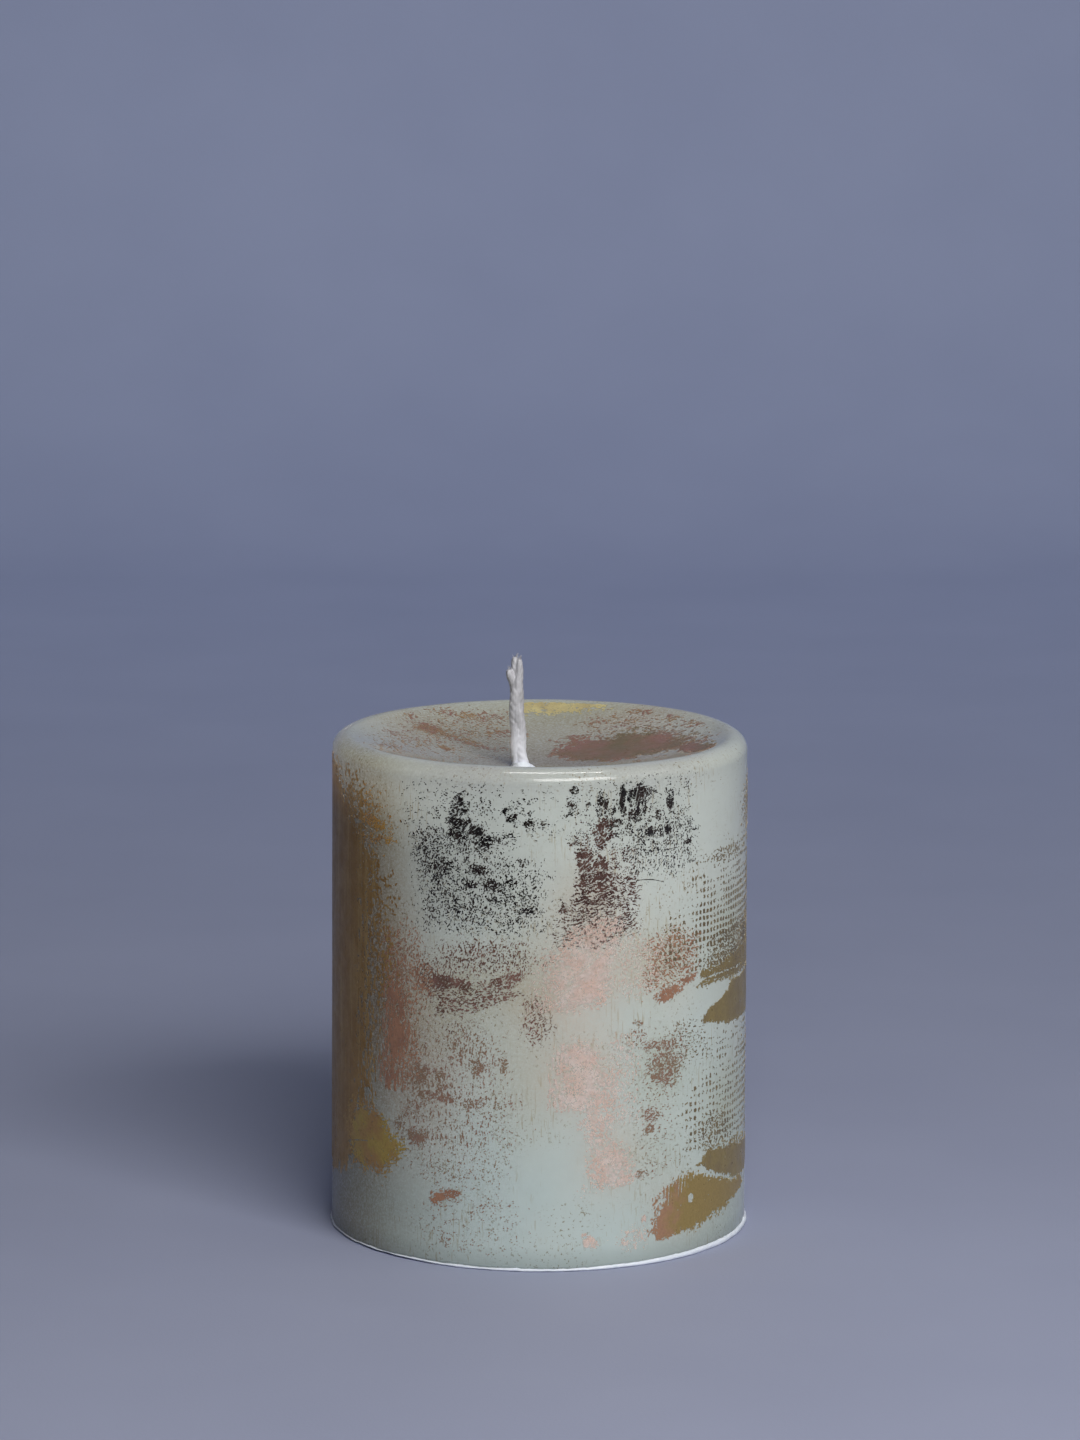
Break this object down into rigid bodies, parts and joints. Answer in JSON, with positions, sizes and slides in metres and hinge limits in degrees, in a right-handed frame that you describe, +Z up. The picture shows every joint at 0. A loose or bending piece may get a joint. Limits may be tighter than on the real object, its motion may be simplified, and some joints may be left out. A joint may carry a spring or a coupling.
{
  "type": "unity candle",
  "caption": "Squat pillar candle with a pale sage skin over a white core, a dished top, a cotton wick and rubbed-on gold and copper leaf.",
  "frame": {"origin": "middle of the resting face, on the candle's axis", "axes": "+Z up along the candle, -Y towards the viewer at the front, +X to the viewer's right"},
  "size_m": [0.0758, 0.0758, 0.1031],
  "materials": {
    "white_wax": "white paraffin wax, soft satin",
    "sage_wax": "pale sage paraffin wax, satin, slightly translucent",
    "cotton": "braided white cotton, primed with wax",
    "tin": "thin tinplate",
    "bronze_leaf": "rubbed bronze-gold leaf, semi-bright",
    "gold_leaf": "gold leaf, semi-bright",
    "copper_leaf": "copper leaf, semi-bright",
    "rose_leaf": "rose copper leaf, finely scratched",
    "dark_leaf": "tarnished leaf, mirror-like and dark"
  },
  "bodies": {
    "root": {"wax_core": "white_wax", "wax_overdip": "sage_wax", "wick_collar": "white_wax", "wick_braid": "cotton", "wick_tab": "tin", "leaf_left_band": "bronze_leaf", "leaf_left_orange": "gold_leaf", "leaf_left_copper": "copper_leaf", "leaf_left_gold": "gold_leaf", "leaf_boot": "dark_leaf", "leaf_boot_scatter": "dark_leaf", "leaf_centre_cluster": "dark_leaf", "leaf_rust_row": "copper_leaf", "leaf_low_scatter": "copper_leaf", "leaf_arrow": "copper_leaf", "leaf_dark_bars": "dark_leaf", "leaf_dark_column": "dark_leaf", "leaf_rose_upper": "rose_leaf", "leaf_rose_lower": "rose_leaf", "leaf_foot_fleck": "rose_leaf", "leaf_copper_side": "copper_leaf", "leaf_copper_fleck": "copper_leaf", "leaf_gauze_upper": "bronze_leaf", "leaf_gauze_lower": "bronze_leaf", "leaf_gold_wedge": "gold_leaf", "leaf_gold_mid": "gold_leaf", "leaf_gold_low": "gold_leaf", "leaf_back_band": "bronze_leaf", "leaf_back_rose": "copper_leaf", "leaf_back_gold": "gold_leaf", "leaf_top_copper": "copper_leaf", "leaf_top_gold": "gold_leaf", "leaf_top_left": "copper_leaf", "leaf_top_right": "copper_leaf"}
  },
  "joints": []
}
